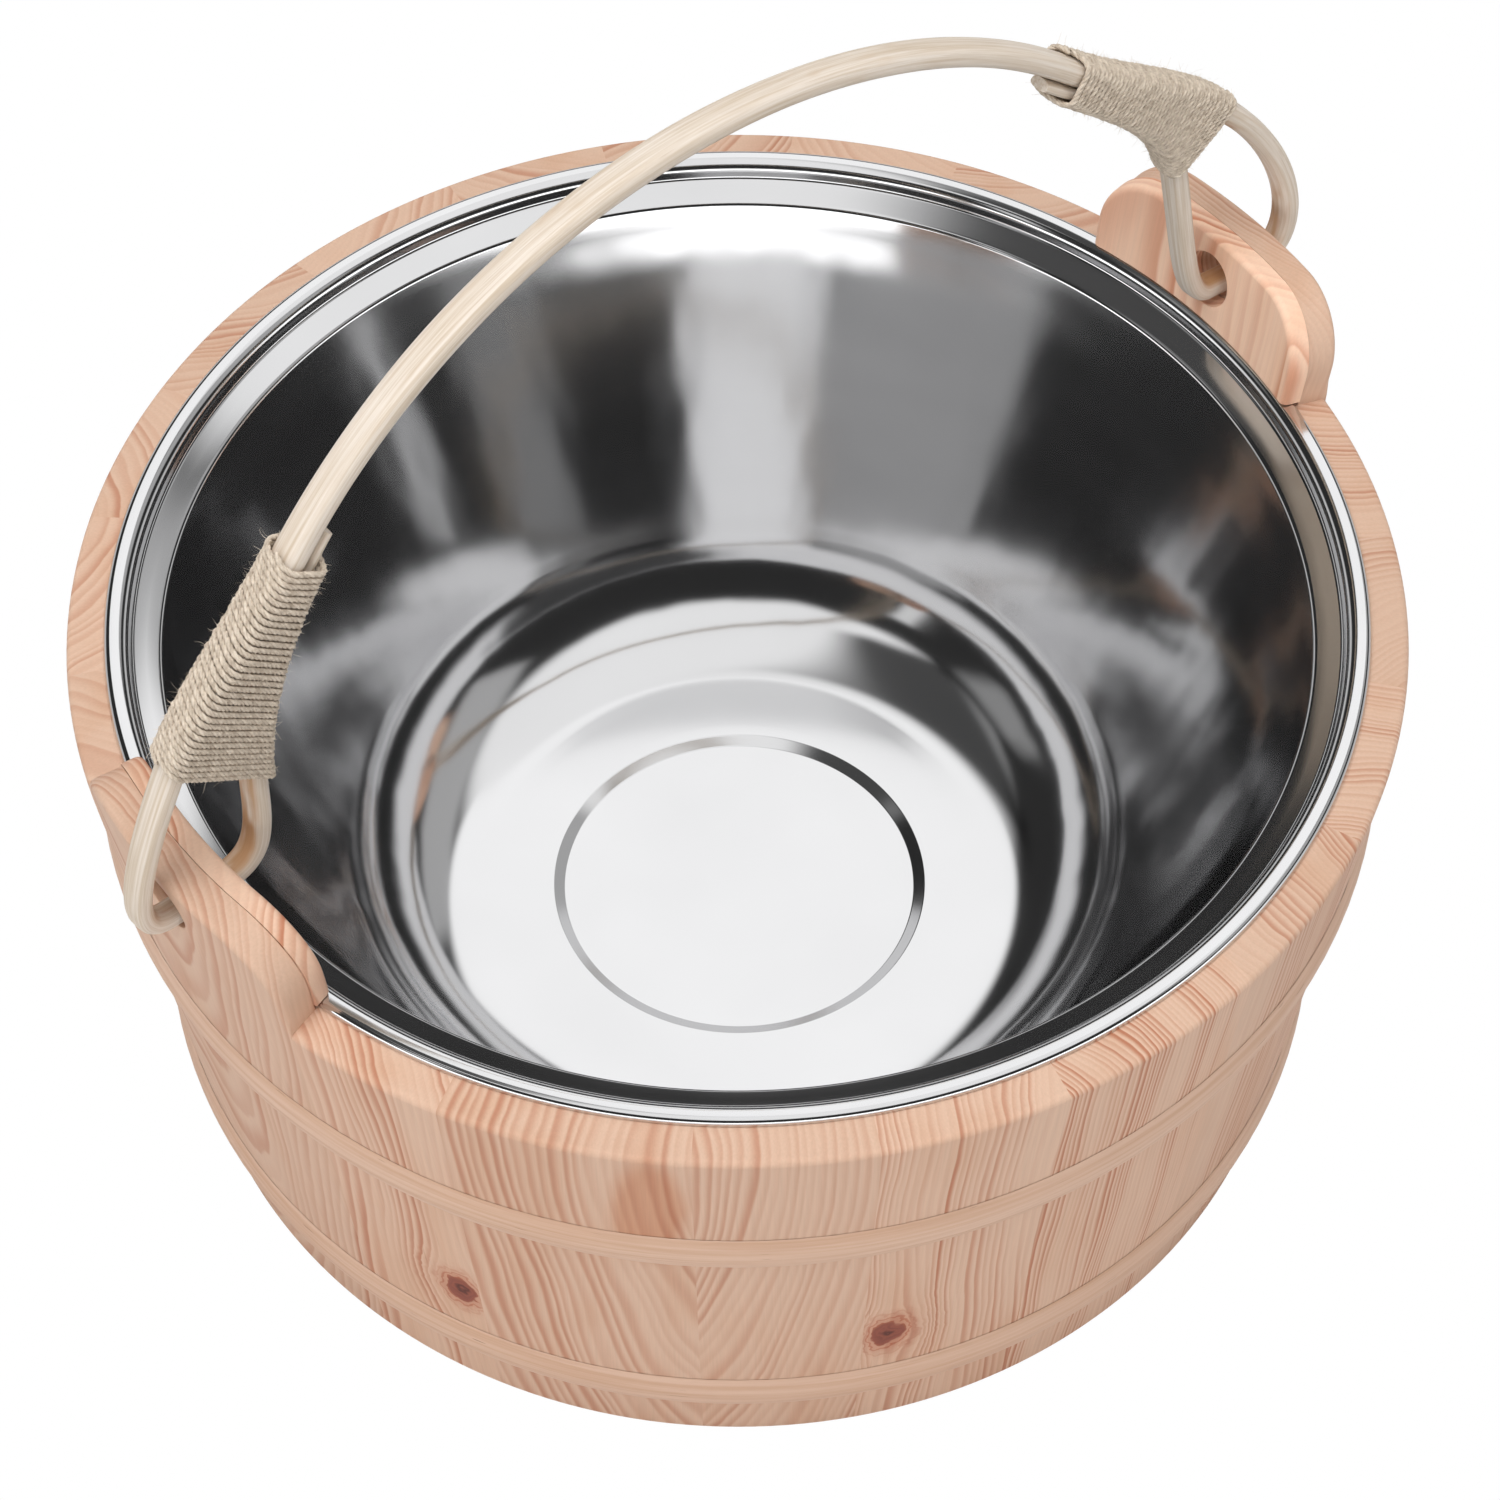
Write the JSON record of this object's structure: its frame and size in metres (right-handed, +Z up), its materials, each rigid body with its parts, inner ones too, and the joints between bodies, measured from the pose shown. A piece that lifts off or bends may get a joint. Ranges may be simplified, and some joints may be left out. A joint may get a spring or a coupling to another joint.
{
  "type": "wooden sauna bucket",
  "caption": "Pine sauna bucket built of staves with two wooden hoops, a steel liner and a looped rattan bail bound with twine.",
  "frame": {"origin": "middle of the base, at the level of the surface it stands on", "axes": "+Z up, the ears at -X and +X, the bail's hinge along +X, the front towards -Y"},
  "size_m": [0.3051, 0.2796, 0.257],
  "materials": {
    "pine": "planed and sanded, bare",
    "hoop_wood": "smooth, bare",
    "steel": "polished steel",
    "rattan": "split cane, dull",
    "twine": "twisted hemp twine"
  },
  "bodies": {
    "bucket": {"front_stave_1": "pine", "front_stave_2": "pine", "front_stave_3": "pine", "front_stave_4": "pine", "front_stave_5": "pine", "front_stave_6": "pine", "front_stave_7": "pine", "front_stave_8": "pine", "front_stave_9": "pine", "back_stave_1": "pine", "back_stave_2": "pine", "back_stave_3": "pine", "back_stave_4": "pine", "back_stave_5": "pine", "back_stave_6": "pine", "back_stave_7": "pine", "back_stave_8": "pine", "back_stave_9": "pine", "left_ear": "pine", "right_ear": "pine", "left_ear_cheek": "pine", "right_ear_cheek": "pine", "bottom_board": "pine", "liner": "steel", "upper_hoop": "hoop_wood", "lower_hoop": "hoop_wood"},
    "bail": {"handle": "rattan", "left_binding": "twine", "right_binding": "twine"}
  },
  "joints": [
    {"name": "bail_swing", "type": "hinge", "parent": "bucket", "child": "bail", "pos_m": [0, 0, 0.1397], "axis": [1, 0, 0], "range_deg": [-88, 76]}
  ]
}
